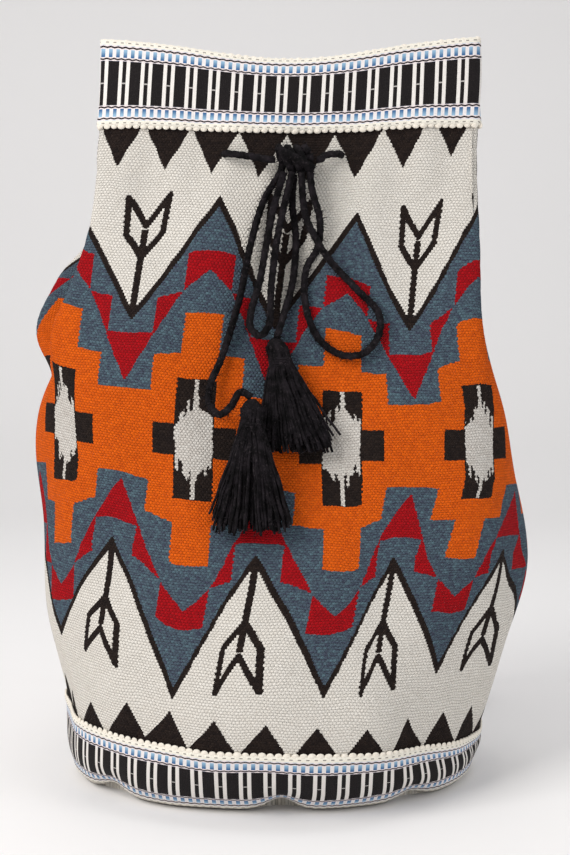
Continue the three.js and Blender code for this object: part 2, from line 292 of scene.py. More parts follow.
def smooth(knots, values, x, period=None):
    """Smooth curve through values at knots, with slopes taken between the neighbours."""
    k, p = np.asarray(knots, float), np.asarray(values, float)
    x = np.asarray(x, float)
    if period:
        x = x % period
        k, p = np.r_[k[-2:] - period, k, k[:3] + period], np.r_[p[-2:], p, p[:3]]
    else:
        k = np.r_[2 * k[0] - k[1], k, 2 * k[-1] - k[-2]]
        p = np.r_[[2 * p[0] - p[1]], p, [2 * p[-1] - p[-2]]]
    shape = (-1,) + (1,) * (p.ndim - 1)
    slope = np.zeros_like(p)
    slope[1:-1] = (p[2:] - p[:-2]) / (k[2:] - k[:-2]).reshape(shape)
    i = np.clip(np.searchsorted(k, x, side="right") - 1, 1, len(k) - 3)
    h = (k[i + 1] - k[i])
    t = ((x - k[i]) / h).reshape(x.shape + (1,) * (p.ndim - 1))
    h = h.reshape(t.shape)
    return ((2 * t**3 - 3 * t**2 + 1) * p[i] + (t**3 - 2 * t**2 + t) * h * slope[i]
            + (3 * t**2 - 2 * t**3) * p[i + 1] + (t**3 - t**2) * h * slope[i + 1])


def ring(v, u):
    """Points in mm of the outer face at fabric height v and fabric places u."""
    heights = [s[0] for s in SECTIONS]
    control = smooth(heights, [s[1] for s in SECTIONS], v)
    front, right, back, left = smooth(heights, [s[2] for s in SECTIONS], v)
    share = np.linspace(0, 1, 721)
    xy = smooth(KNOTS, control, share, 1.0)
    xy[-1] = xy[0]
    c, s = np.cos(share * 2 * np.pi), np.sin(share * 2 * np.pi)
    z = c * c * np.where(c > 0, front, back) + s * s * np.where(s > 0, right, left)
    z = z - MOUTH_SINK * (v / HEIGHT) ** 6 * s**8
    tuck = sum(lift * np.exp(-(((xy[:, 0] - x) / width) ** 2)) for x, width, lift in TUCKS)
    tuck = tuck * (c > 0) * max(0.0, 1 - v / 25)
    line = np.column_stack([xy[:, 0], xy[:, 1] + tuck, z + tuck])
    along = np.r_[0, np.cumsum(np.linalg.norm(np.diff(line, axis=0), axis=1))]
    lean = float(smooth([a for a, _ in LEAN], [b for _, b in LEAN], v))
    away = (np.asarray(u) - lean + GIRTH / 2) % GIRTH - GIRTH / 2
    spare = (along[-1] / 2 - FACE) / (GIRTH / 2 - FACE)
    far = FACE + (np.abs(away) - FACE) * spare
    place = np.where(np.abs(away) < FACE, away, np.sign(away) * far) % along[-1]
    return np.column_stack([np.interp(place, along, line[:, k]) for k in range(3)])


def slack(u, v):
    """Soft unevenness of the standing cloth in mm: broad dents, and gathers under the mouth."""
    a = u / GIRTH * 2 * np.pi
    broad = (1.4 * np.sin(5 * a + v / 38) + 1.1 * np.sin(9 * a - v / 27 + 1.7)
             + 0.6 * np.sin(15 * a + v / 17))
    broad = np.minimum(broad - 0.9, 1.3)    # mostly inwards, away from the cords that lie on it
    gathers = 0.8 * np.sin(26 * a + 0.6) * np.exp(-(((v - 372) / 26) ** 2))
    calm = np.clip(v / 60, 0, 1) * np.clip((HEIGHT - v) / 60, 0, 1)
    return broad * calm + gathers


def cloth_rows(rows, columns, push):
    """Grid of points in mm, pushed out from the outer face by push, which may vary by row."""
    u = np.arange(columns) * GIRTH / columns
    push = np.broadcast_to(push, (len(rows),))
    grid = []
    for v, off in zip(rows, push):
        here = ring(v, u)
        rise = ring(min(v + 1.5, HEIGHT), u) - ring(max(v - 1.5, 0), u)
        run = np.roll(here, -1, 0) - np.roll(here, 1, 0)
        out = np.cross(run, rise)
        out /= np.linalg.norm(out, axis=1, keepdims=True)
        grid.append(here + out * (off + slack(u, v))[:, None])
    grid = np.array(grid)
    grid[..., 2] = np.maximum(grid[..., 2], 0)
    return grid


print("girth at mid height, mm", round(float(np.linalg.norm(np.diff(ring(MID, np.linspace(0, 720, 721)),
                                                                     axis=0), axis=1).sum())))

# %% [markdown]
# A wall of cloth is two grids, outer and inner, joined at their edges into one closed skin. Its
# UV map holds the cloth's own coordinates in metres, so a woven pattern follows every fold.

# %% Closed wall of cloth
def make_piece(name, points, faces, uv=None, material=None, smooth_faces=True):
    mesh = bpy.data.meshes.new(name)
    mesh.from_pydata([tuple(p) for p in np.asarray(points) * MM], [], faces)
    if uv is not None:
        layer = mesh.uv_layers.new(name="cloth")
        layer.data.foreach_set("uv", np.asarray(uv, float).ravel())
    if smooth_faces:
        mesh.shade_smooth()
    if material:
        mesh.materials.append(material)
    piece = bpy.data.objects.new(name, mesh)
    scene.collection.objects.link(piece)
    return piece


def wall_of_cloth(name, rows, columns, outer, inner, material, inner_rows=None):
    inner_rows = rows if inner_rows is None else inner_rows
    grid = np.concatenate([cloth_rows(rows, columns, outer), cloth_rows(inner_rows, columns, inner)[::-1]])
    heights = np.r_[rows, inner_rows[::-1]]
    count = len(heights)
    faces, uv = [], []
    for j in range(count):
        k = (j + 1) % count
        for i in range(columns):
            n = (i + 1) % columns
            faces.append((j * columns + i, j * columns + n, k * columns + n, k * columns + i))
            a, b = i * GIRTH / columns * MM, (i + 1) * GIRTH / columns * MM
            low, high = heights[j] * MM, heights[k] * MM
            uv.append([(a, low), (b, low), (b, high), (a, high)])
    return make_piece(name, grid.reshape(-1, 3), faces, uv, material)


# %% [markdown]
# The cloth is weft-faced wool: short floats of yarn in staggered rows. A weaver counts the pattern
# in those floats, which steps its slanting edges. Here each motif is worked out between the true
# place and the middle of its float, so that the steps stay small and a little fuzzy. No two
# repeats of a hand weave are alike, so drawn curves move the motifs sideways and stretch their
# steps a little round the bag.

# %% Floats of yarn and lines between points
CREAM, BLACK = ink(0.955, 0.935, 0.90), ink(0.12, 0.095, 0.09)
BLUE, RED, ORANGE = ink(0.34, 0.42, 0.465), ink(0.71, 0.06, 0.10), ink(0.94, 0.405, 0.07)
FLOAT_WIDE, FLOAT_HIGH = 2.0, 1.5


def floats(finish, u, v, wide, high):
    """Staggered floats of yarn: the middle of the one at u, v, its number and its rounded height."""
    row = (v / high).floor()
    offset = (row % 2.0) * (wide / 2)
    shifted = u + offset
    column = (shifted / wide).floor()
    mid_u = (column + 0.5) * wide - offset
    mid_v = (row + 0.5) * high
    across = abs(u - mid_u) / (wide / 2)
    upward = abs(v - mid_v) / (high / 2)
    crown = 1 - across * across * 0.9 - upward * upward * 0.7
    return mid_u, mid_v, finish.join(column, row), crown


def triangle_wave(x, period):
    """Distance from x to the nearest multiple of period."""
    return abs((x / period + 0.5) % 1.0 - 0.5) * period


def near_line(x, y, start, end, width):
    """1 within width of the straight line from start to end."""
    (ax, ay), (bx, by) = start, end
    length = math.hypot(bx - ax, by - ay)
    dx, dy = (bx - ax) / length, (by - ay) / length
    along = ((x - ax) * dx + (y - ay) * dy).at_least(0).at_most(length)
    over, up = x - ax - along * dx, y - ay - along * dy
    return (over * over + up * up) < width * width


# %% The weaver's unevenness, above and below the middle row, by place round the bag in mm
SIDEWAYS = ([(-119, -1), (-79, -1), (-2, 2), (34, 6), (71, 9), (115, 5)],
            [(-130, 10), (-81, 1), (-46, 6), (0, 0), (28, 12), (67, 13), (95, 22), (130, 12)])
STEPS = ([(-160, 0.03), (-119, 0.11), (-79, 0), (-40, 0.08), (-2, 0.15), (34, 0.27), (71, 0.035),
          (115, 0.08)],
         [(-160, 0.05), (-130, 0.25), (-81, 0), (-46, 0.1), (0, 0), (28, 0.18), (67, 0.11),
          (100, 0.15)])
ZIGZAG = ([(-119, 0), (-79, -0.05), (-40, 0), (-2, 0.025), (34, 0.03), (71, -0.065), (115, 0)],
          [(-130, 0.06), (-81, -0.087), (-46, 0), (0, -0.06), (28, 0), (67, 0.01), (95, 0.06)])
TOOTH_TIPS = ([(-160, 2), (-119, 0), (-8, -4), (18, 1), (41, 7), (86, 10), (115, 8)],
              [(-130, 4), (-105, -2), (-54, 1), (0, 3), (29, 4), (60, 0), (98, -1)])


def woven_wool():
    f = Finish("woven_wool", 0.95)
    u, v = f.fabric_place("cloth")
    u, v = u * 1000, v * 1000
    wobble = f.noise(f.join(u, v), 0.05, 1.0) - 0.5
    lifted = v + wobble * 3
    mu, mv, number, crown = floats(f, u, lifted, FLOAT_WIDE, FLOAT_HIGH)
    # yarns nest into their neighbours, so an edge steps by less than a whole float
    nap = f.noise(f.join(u, v), 0.9, 2.0) - 0.5
    mu, mv = mu * 0.4 + u * 0.6 + nap * 1.3, mv * 0.4 + lifted * 0.6 + nap * 0.9
    fuzz = f.node("ShaderNodeTexWhiteNoise", {"noise_dimensions": "2D"}, {"Vector": number})["Value"]
    around = (mu + GIRTH / 2) % GIRTH - GIRTH / 2
    upper = mv > MID

    def uneven(curves, span):
        above, below = (f.curve(around, points, span) for points in curves)
        return above * upper + below * (1 - upper)

    b = abs(mv - MID)
    pu = mu + uneven(SIDEWAYS, 40) * ((b - 20) / 45).at_least(0).at_most(1)
    x = triangle_wave(pu, PERIOD)
    inner = b * (uneven(STEPS, 0.5) + 1)
    outer = b * (uneven(ZIGZAG, 0.5) + 1)
    half = PERIOD / 2
    # zigzag between the blue ground and the cream
    zig = 126 - x * (60 / half)
    blue = outer < zig
    outline = (outer > zig - 1.8) * (outer < zig + 4.0)
    # red band in steps, with a slanting lower edge
    slant = (96.7 - x * 0.82).at_most(103.5 - x * 1.33 - (x - 13).at_least(0) * 0.25)
    slant = slant.at_most(119.5 - x * 2.18)
    steps = 62.6 + (x < 27.2) * 22.4 + (x < 13.3) * 21
    red = (inner > slant) * (inner < steps)
    orange = (inner < 28) + (inner < 49) * (x < 25) + (inner < 72.6) * (x < 10.7)
    # black cross with a white heart whose edges run as dyed yarn does
    cross = (x < 10.9) * (inner < 35) + (x < 23) * (b < 8.6)
    strand = f.join((mu / 1.3).floor(), upper)
    ragged = f.node("ShaderNodeTexWhiteNoise", {"noise_dimensions": "2D"}, {"Vector": strand})["Value"]
    heart = (b + ragged * 10 + x * 1.1 < 28) * (x < 9.8 + ragged * 1.0)
    thread = (x < 1.1) * (inner < 34.5)
    # arrow in each cream peak
    y = half - x
    arrow = (y < 1.9) * (outer > 66) * (outer < 116)
    for start, end in (((0, 100), (10.0, 113)), ((10.0, 113), (11.5, 134)), ((11.5, 134), (0, 118))):
        arrow = arrow + near_line(y, outer, start, end, 1.8)
    phase = 2 + upper * 4
    tips = 149.5 + uneven(TOOTH_TIPS, 20) + triangle_wave(mu + phase, PERIOD / 3) * (1.35 + upper * 0.6)
    teeth = (b > tips) * (b < 177)
    colour = f.mix(fuzz * 0.3, CREAM, ink(0.88, 0.85, 0.80))
    fleck = f.noise(f.join(u * 0.25, v * 1.4), 1.0, 2.0).to_range(0.70, 0.80)
    colour = f.mix(fleck * 0.35, colour, ink(0.55, 0.45, 0.36))
    heather = f.noise(f.join(u * 0.35, v * 1.0), 1.0, 3.0)
    blues = f.mix(heather.to_range(0.35, 0.65), BLUE, ink(0.26, 0.275, 0.345))
    blues = f.mix(fuzz.to_range(0.6, 1.0) * 0.5, blues, ink(0.40, 0.52, 0.56))
    oranges = f.mix(fuzz * 0.7, ORANGE, ink(0.82, 0.33, 0.06))
    reds = f.mix(fuzz * 0.6, RED, ink(0.55, 0.05, 0.09))
    blacks = f.mix(fuzz * 0.6, BLACK, ink(0.20, 0.16, 0.14))
    whites = f.mix(fuzz * 0.4, ink(0.90, 0.88, 0.85), ink(0.76, 0.72, 0.68))
    for mask, paint in ((blue, blues), (red * blue, reds), (orange, oranges), (cross, blacks),
                        (heart * cross, whites), (thread, whites), (outline, blacks), (arrow, blacks),
                        (teeth, blacks)):
        colour = f.mix(mask.at_most(1), colour, paint)
    # painted shade: the low gaps between the floats of yarn are darkened as if in shadow
    gap_shade = 1 - crown.to_range(-0.4, 0.3)
    colour = f.mix(gap_shade * 0.6, colour, f.mix(0.72, colour, ink(0.20, 0.13, 0.10)))
    hair = f.noise(f.join(u, v * 3), 2.2, 3.0)
    return f.done(colour, crown.at_least(-0.5) + hair * 0.7, 0.0008)


WOOL = woven_wool()
COLUMNS = 320
ROWS = np.linspace(0, HEIGHT, 190)
bag_body = wall_of_cloth("woven_tube", ROWS, COLUMNS, 0, -WALL, WOOL, np.linspace(0, HEIGHT, 70))
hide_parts("bag_body")
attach(bag_body, "root")
print("woven tube faces", len(bag_body.data.polygons))

# %% [markdown]
# The mouth and the foot are bound with a jacquard ribbon: black with pairs of white bars, a row
# of blue and white checks each side between fine chained lines, and a cream selvedge. Its repeat
# is 12.6 mm, three checks long, so that 57 repeats go round the bag.

# %% Ribbon
REPEAT = GIRTH / 57
CHECK = REPEAT / 3


def ribbon_finish(name, start):
    f = Finish(name, 0.75)
    u, v = f.fabric_place("cloth")
    u, v = u * 1000, v * 1000 - start
    c = abs(v - TRIM / 2)
    x = triangle_wave(u, REPEAT)
    white, black = ink(0.93, 0.91, 0.89), ink(0.10, 0.085, 0.09)
    bar = (x > 1.1) * (x < 3.2)
    dash = (x < 1.0) * (c < 0.35)
    colour = f.mix(bar, black, white)
    colour = f.mix(dash * 0.55, colour, white)
    # checks, deepest next to the black
    off = triangle_wave(u, CHECK)
    depth = ((c - 12.9) / 4.3).to_range(0.1, 1.0)
    sky = f.mix(depth, ink(0.16, 0.36, 0.56), ink(0.62, 0.76, 0.86))
    check = off < CHECK * 0.25
    band = c > 11.2
    colour = f.mix(band, colour, f.mix(check, ink(0.93, 0.91, 0.91), sky))
    # chained lines: a dark line that swings round a white dot over each check
    swing = (off / CHECK) * 1.1
    for middle, way in ((12.2, 1), (18.2, -1)):
        line = abs(c - middle - way * (swing - 0.25)) < 0.42
        dot = (abs(c - middle) < 0.9) - (line > 0.5)
        colour = f.mix(dot.at_least(0), colour, ink(0.92, 0.88, 0.88))
        colour = f.mix(line, colour, ink(0.13, 0.08, 0.10))
    selvedge = c > 19.3
    colour = f.mix(selvedge, colour, ink(0.94, 0.92, 0.87))
    stitch = (abs(c - 20.6) < 0.28) * (off > CHECK * 0.3)
    colour = f.mix(stitch * 0.75, colour, ink(0.25, 0.20, 0.18))
    fibre = f.noise(f.join(u, v), 1.6, 3.0)
    colour = f.mix(fibre.to_range(0.5, 0.9) * 0.2, colour, ink(0.4, 0.38, 0.36))
    ribs = abs((u / 0.9) % 1.0 - 0.5) * abs((v / 0.7) % 1.0 - 0.5)
    raised = bar * (1 - band) * 0.6 + band * 0.3 + ribs * 1.5 + fibre * 0.4
    return f.done(colour, raised, 0.0006)


CREAM_YARN = Finish("cream_yarn", 0.9)
tint = CREAM_YARN.noise(CREAM_YARN.object_place(), 900.0, 3.0)
tint_of_yarn = CREAM_YARN.mix(tint, ink(0.96, 0.94, 0.90), ink(0.84, 0.80, 0.74))
CREAM_YARN = CREAM_YARN.done(tint_of_yarn, tint, 0.0003)

STARTS = {"top_trim": HEIGHT - TRIM, "bottom_trim": 5.5}
for node, start in STARTS.items():
    rows = np.linspace(start, start + TRIM, 30)
    edge = np.minimum(rows - start, start + TRIM - rows)
    swell = 0.4 * np.exp(-(((edge - 2.2) / 1.8) ** 2))
    ribbon = wall_of_cloth(node.replace("trim", "ribbon"), rows, COLUMNS, SEAM + TRIM_THICK + swell, SEAM,
                           ribbon_finish(node + "_weave", start))
    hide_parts(node)
    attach(ribbon, "root")
print("ribbons at", STARTS)

# %% [markdown]
# Small scallops of cream yarn edge the ribbons, 171 to each round. A Geometry Nodes tree puts one
# small bead at each point of a line, turned along the cloth, and lets it vary a little. Modelling
# each by hand would be slow, and an array could not follow the folds. The helpers name a tree's
# inputs, wire its nodes and turn the result into a plain mesh.

# %% Geometry Nodes helpers
def node_tree(name, *inputs):
    """An empty tree with the named inputs, and the identifier of each."""
    tree = bpy.data.node_groups.new(name, "GeometryNodeTree")
    ids = {}
    for label, kind in (("Geometry", "Geometry"), *inputs, ("Material", "Material")):
        made = tree.interface.new_socket(label, in_out="INPUT", socket_type="NodeSocket" + kind)
        ids[label] = made.identifier
    tree.interface.new_socket("Geometry", in_out="OUTPUT", socket_type="NodeSocketGeometry")
    return tree, ids


def preset(node, **values):
    """Set a node's inputs by name, with _ for a space, or by number after an n."""
    for label, value in values.items():
        place = int(label[1:]) if label[1:].isdigit() else label.replace("_", " ")
        node.inputs[place].default_value = value


def wire(tree, *links):
    for source, output, target, into in links:
        tree.links.new(source.outputs[output], target.inputs[into])


def grown(carrier, name, made, **values):
    """Run a tree on a carrier, set by its named inputs, and keep the result as a plain mesh."""
    tree, ids = made
    modifier = carrier.modifiers.new(tree.name, "NODES")
    modifier.node_group = tree
    for label, value in values.items():
        modifier[ids[label.replace("_", " ")]] = value
    bpy.context.view_layer.update()
    seen = carrier.evaluated_get(bpy.context.evaluated_depsgraph_get())
    mesh = bpy.data.meshes.new_from_object(seen)
    bpy.data.objects.remove(carrier)
    piece = bpy.data.objects.new(name, mesh)
    mesh.name = name
    scene.collection.objects.link(piece)
    return piece


# %% Beads along the selvedges
def bead_tree():
    tree, ids = node_tree("beads_along_edge", ("Bead size", "Vector"))
    n = tree.nodes
    given, result = n.new("NodeGroupInput"), n.new("NodeGroupOutput")
    bead, turn = n.new("GeometryNodeMeshUVSphere"), n.new("GeometryNodeInputNamedAttribute")
    preset(bead, Segments=8, Rings=5, Radius=0.5)
    turn.data_type = "FLOAT_VECTOR"
    preset(turn, Name="turn")
    euler, vary = n.new("FunctionNodeEulerToRotation"), n.new("FunctionNodeRandomValue")
    preset(vary, n2=0.88, n3=1.1, Seed=7)
    scaled, put = n.new("ShaderNodeVectorMath"), n.new("GeometryNodeInstanceOnPoints")
    scaled.operation = "SCALE"
    real, coat = n.new("GeometryNodeRealizeInstances"), n.new("GeometryNodeSetMaterial")
    soft = n.new("GeometryNodeSetShadeSmooth")
    wire(tree, (given, "Geometry", put, "Points"), (bead, "Mesh", put, "Instance"),
         (turn, "Attribute", euler, 0), (euler, 0, put, "Rotation"),
         (given, "Bead size", scaled, 0), (vary, 1, scaled, "Scale"), (scaled, "Vector", put, "Scale"),
         (put, "Instances", real, "Geometry"), (real, "Geometry", soft, "Geometry"),
         (soft, "Geometry", coat, "Geometry"), (given, "Material", coat, "Material"),
         (coat, "Geometry", result, "Geometry"))
    return tree, ids


def edge_line(v, pitch, push, shift=0.0):
    """Points along the cloth at height v and how each bead is turned there."""
    count = round(GIRTH / pitch)
    u = (np.arange(count) + shift) * GIRTH / count
    here, nearby = ring(v, u), ring(v, u + 0.5)
    rise = ring(min(v + 1.5, HEIGHT), u) - ring(max(v - 1.5, 0), u)
    x = nearby - here
    x /= np.linalg.norm(x, axis=1, keepdims=True)
    out = np.cross(x, rise)
    out /= np.linalg.norm(out, axis=1, keepdims=True)
    up = np.cross(out, x)
    turns = []
    for i in range(count):
        turns.append(tuple(Matrix(np.column_stack([x[i], -out[i], up[i]]).tolist()).to_euler()))
    return here + out * (push + slack(u, v))[:, None], turns


BEADS = bead_tree()


def beads(name, v, pitch, push, size, material, shift=0.0):
    points, turns = edge_line(v, pitch, push, shift)
    points[:, 2] = np.maximum(points[:, 2], size[2] / 2 + 0.1)
    carrier = make_piece(name + "_line", points, [], smooth_faces=False)
    mesh = carrier.data
    attribute = mesh.attributes.new("turn", "FLOAT_VECTOR", "POINT")
    attribute.data.foreach_set("vector", np.array(turns).ravel())
    piece = grown(carrier, name, BEADS, Bead_size=[s * MM for s in size], Material=material)
    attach(piece, "root")
    return piece


FOOT = STARTS["bottom_trim"]
beads("mouth_scallops", HEIGHT - TRIM - 0.1, CHECK, 1.1, (4.4, 1.8, 3.4), CREAM_YARN)
beads("rim_scallops", HEIGHT - 0.9, CHECK, 0.4, (4.4, 3.4, 3.4), CREAM_YARN)
beads("foot_scallops", FOOT + TRIM + 0.1, CHECK, 1.1, (4.4, 1.8, 3.4), CREAM_YARN)
beads("ground_scallops", FOOT + 0.4, CHECK, 1.1, (4.4, 1.8, 3.2), CREAM_YARN)
print("selvedges done")

# %% [markdown]
# The black drawstring is twisted from three plies. Its section is a soft three-lobed outline
# that turns as it goes along, which gives real grooves in the mesh for the light to catch.

# %% Twisted wool cord
CORD = 4.0
PLY_PITCH = 13.0


def wool_yarn(name, spacing):
    f = Finish(name, 0.95)
    place = f.object_place()
    hair = f.noise(place, 700.0, 4.0)
    clump = f.noise(place, spacing, 2.0)
    colour = f.mix(clump.to_range(0.38, 0.66), ink(0.035, 0.03, 0.035), ink(0.12, 0.105, 0.118))
    # painted highlight: pale grey flecks where loose fibres would catch the light
    colour = f.mix(hair.to_range(0.58, 0.74) * 0.6, colour, ink(0.25, 0.225, 0.235))
    return f.done(colour, hair + clump * 0.5, 0.0006)


BLACK_WOOL = wool_yarn("black_wool", 220.0)


def spline(points, per_span):
    """Centripetal curve through the points, the same one that the solids follow."""
    p = np.asarray(points, float)
    p = np.vstack([2 * p[0] - p[1], p, 2 * p[-1] - p[-2]])
    line = []
    for i in range(1, len(p) - 2):
        d = [max(np.linalg.norm(p[k + 1] - p[k]), 1e-8) ** 0.5 for k in (i - 1, i, i + 1)]
        a = (p[i] - p[i - 1]) / d[0] - (p[i + 1] - p[i - 1]) / (d[0] + d[1]) + (p[i + 1] - p[i]) / d[1]
        b = (p[i + 1] - p[i]) / d[1] - (p[i + 2] - p[i]) / (d[1] + d[2]) + (p[i + 2] - p[i + 1]) / d[2]
        a, b = a * d[1], b * d[1]
        t = np.linspace(0, 1, per_span, endpoint=False)[:, None]
        line.append((2 * t**3 - 3 * t**2 + 1) * p[i] + (t**3 - 2 * t**2 + t) * a
                    + (3 * t**2 - 2 * t**3) * p[i + 1] + (t**3 - t**2) * b)
    return np.vstack([*line, p[-2]])


def evenly(line, step):
    """The same line with its points step apart, and its length."""
    along = np.r_[0, np.cumsum(np.linalg.norm(np.diff(line, axis=0), axis=1))]
    at = np.linspace(0, along[-1], max(3, round(along[-1] / step)))
    return np.column_stack([np.interp(at, along, line[:, k]) for k in range(3)]), along[-1]


def frames(line):
    """Directions along a line and two across it that do not twist."""
    along = np.gradient(line, axis=0)
    along /= np.linalg.norm(along, axis=1, keepdims=True)
    side = np.cross(along[0], [0.3, 0.2, 1.0])
    sides = []
    for a in along:
        side = side - a * side.dot(a)
        side = side / np.linalg.norm(side)
        sides.append(side)
    sides = np.array(sides)
    return along, sides, np.cross(along, sides)


def rope(name, line, diameter, material, lobes=3, pitch=PLY_PITCH, sides=15, step=1.1):
    """A tube whose lobed section turns along the line, with closed ends."""
    line, length = evenly(line, step)
    _, a, b = frames(line)
    turn = np.linspace(0, 2 * np.pi, sides, endpoint=False)
    at = np.linspace(0, length, len(line))
    points = []
    for i, centre in enumerate(line):
        phase = turn - at[i] / pitch * 2 * np.pi
        radius = diameter / 2 * (0.80 + 0.24 * np.abs(np.cos(lobes / 2 * phase)) ** 0.8)
        across = np.outer(radius * np.cos(turn), a[i])
        points.append(centre + across + np.outer(radius * np.sin(turn), b[i]))
    count = len(points)
    faces = [(j * sides + i, j * sides + (i + 1) % sides,
              (j + 1) * sides + (i + 1) % sides, (j + 1) * sides + i)
             for j in range(count - 1) for i in range(sides)]
    faces.append(tuple(range(sides))[::-1])
    faces.append(tuple((count - 1) * sides + i for i in range(sides)))
    return make_piece(name, np.vstack(points), faces, None, material), line, length


# %% [markdown]
# The bow lies on the cloth in layers: a strand that crosses another passes over it. The routes
# are the ones that the solids follow, given as side place, height and layer. Only the left tail
# starts a little higher here, inside the knot.

# %% Bow, tails and drawstring
FRONT = [(s[1][0][1], s[2][0]) for s in SECTIONS]


def in_front(x, z, stand):
    """A point a stand-off before the front of the cloth."""
    i = next((k for k, (_, level) in enumerate(FRONT) if level >= z), len(FRONT) - 1)
    i = max(1, i)
    (y0, z0), (y1, z1) = FRONT[i - 1], FRONT[i]
    return (x, y0 + (y1 - y0) * (z - z0) / (z1 - z0) - stand, z)


def route(places):
    return [in_front(x, z, SEAM + CORD / 2 + 1.2 + n * (CORD + 2 * SEAM)) for x, z, n in places]


KNOT = np.array(in_front(13, 348, 9.5))
KX = KNOT[0]
BOW = {
    "bow_loop_left": [(KX - 6.5, 340.6, 1.9), (1, 322, 1.5), (-3, 302, 1), (-7, 280, 1), (-11.5, 264, 1),
                      (-11.5, 255.5, 1), (-6.5, 251.5, 1), (-2, 256.5, 1), (-0.5, 278, 1), (2, 300, 1),
                      (6, 320, 1.5), (KX - 2, 340.6, 1.9)],
    "bow_loop_right": [(KX + 7.5, 340.6, 1.6), (22, 330, 1.6), (26, 315, 1.2), (25, 300, 0), (19, 289, 0),
                       (17.5, 277, 0), (20, 261, 0), (26, 249, 0), (38, 241, 0), (50, 242, 0), (58, 252, 0),
                       (58, 264, 0), (46, 277, 0.2), (31, 293, 1), (24, 304, 1.4), (18, 318, 1.3),
                       (KX + 2.8, 340.6, 1.9)],
    "tail_left": [(KX - 6.8, 345.6, 1.2), (KX - 8.6, 341, 0.9), (-4.6, 326, 0.2),
                  (-12, 301, 0), (-18, 271, 0), (-28, 238, 0),
                  (-33, 226, 0.4), (-33.5, 215, 1.2), (-27.5, 209.5, 2.2), (-21.5, 214, 3),
                  (-16.5, 221.5, 3.25), (-10.8, 218.9, 3.25)],
    "tail_right": [(KX - 1, 340, 0.7), (11, 325, 0.1), (13, 304, 0), (11, 280, 0), (6, 262, 0.4),
                   (2.5, 250, 0.8)],
}
cords = {}
for node, places in BOW.items():
    line = spline(route(places), 24)
    piece, line, length = rope(node.replace("bow_", "").replace("tail", "cord"), line, CORD, BLACK_WOOL)
    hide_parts(node)
    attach(piece, "root")
    cords[node] = (piece, line, length)
    print(node, "mm", round(length))


def knot_piece():
    """Three turns of cord round the bow and one slanting over them."""
    t = np.linspace(0, 1, 240)
    a = t * 2 * np.pi * 3.4
    wraps = np.column_stack([-8 + 16 * t - 2.6 * np.sin(a), 4.5 * np.cos(a), 6.4 * np.sin(a)])
    s = np.linspace(-1, 1, 60)
    over = np.column_stack([9 * s, -5.4 * np.sqrt(1 - 0.8 * s * s) - 0.8, -5 * s])
    core = np.column_stack([9.5 * s, 0 * s, 0 * s])
    made = [rope("knot_part", KNOT + line, wide, BLACK_WOOL)[0]
            for line, wide in ((wraps, 4.2), (over, 4.4), (core, 7.0))]
    with bpy.context.temp_override(active_object=made[0], selected_editable_objects=made):
        bpy.ops.object.join()
    made[0].name = "bow_knot"
    return made[0]


knot = knot_piece()
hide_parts("knot")
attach(knot, "root")


def drawstring_line():
    """The cord from the knot through one hole, round inside the mouth and out of the other."""
    level = HEIGHT - TRIM - 14.5
    u = np.linspace(0, GIRTH, 1440, endpoint=False)
    face = ring(level, u)
    off = WALL + CORD / 2 + 2
    run = np.roll(face, -1, 0) - np.roll(face, 1, 0)
    out = np.cross(run, [0, 0, 1.0])
    out /= np.linalg.norm(out, axis=1, keepdims=True)
    inside = face - out * off
    start = np.argmin(np.abs(face[:, 0]) + 1000 * (face[:, 1] > 0))
    inside = np.roll(inside, -start, 0)[::10]
    clear = np.array([np.hypot(*(face[:, :2] - p[:2]).T).min() for p in inside])
    holes = [face[np.argmin(np.abs(face[:, 0] - x) + 1000 * (face[:, 1] > -5))] for x in (38, -27)]
    keep = (clear > off - 0.8) & ((inside[:, 1] > -10) | (inside[:, 0] > holes[0][0] + 14)
                                  | (inside[:, 0] < holes[1][0] - 14))
    ends = []
    for hole, way in zip(holes, (1, -1)):
        ends.append([KNOT + [way * 11.45, 0, 0], KNOT + [way * 13.5, 0, 0], hole + [-way * 9, -5.5, -1],
                     hole + [-way * 1.5, -4, 0], hole + [0, 1, 0], hole + [way * 3, 7, 0]])
    return spline([*ends[0], *inside[keep], *ends[1][::-1]], 12)


string, _, string_length = rope("mouth_drawstring", drawstring_line(), CORD, BLACK_WOOL)
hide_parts("drawstring")
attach(string, "root")
print("drawstring mm", round(string_length))

# %% [markdown]
# A tassel is a hank of yarn folded over the cord, bound at its head and cut at its foot. Guide
# lines say how each yarn falls, and a Geometry Nodes tree turns them into yarns with a little
# unevenness of their own.

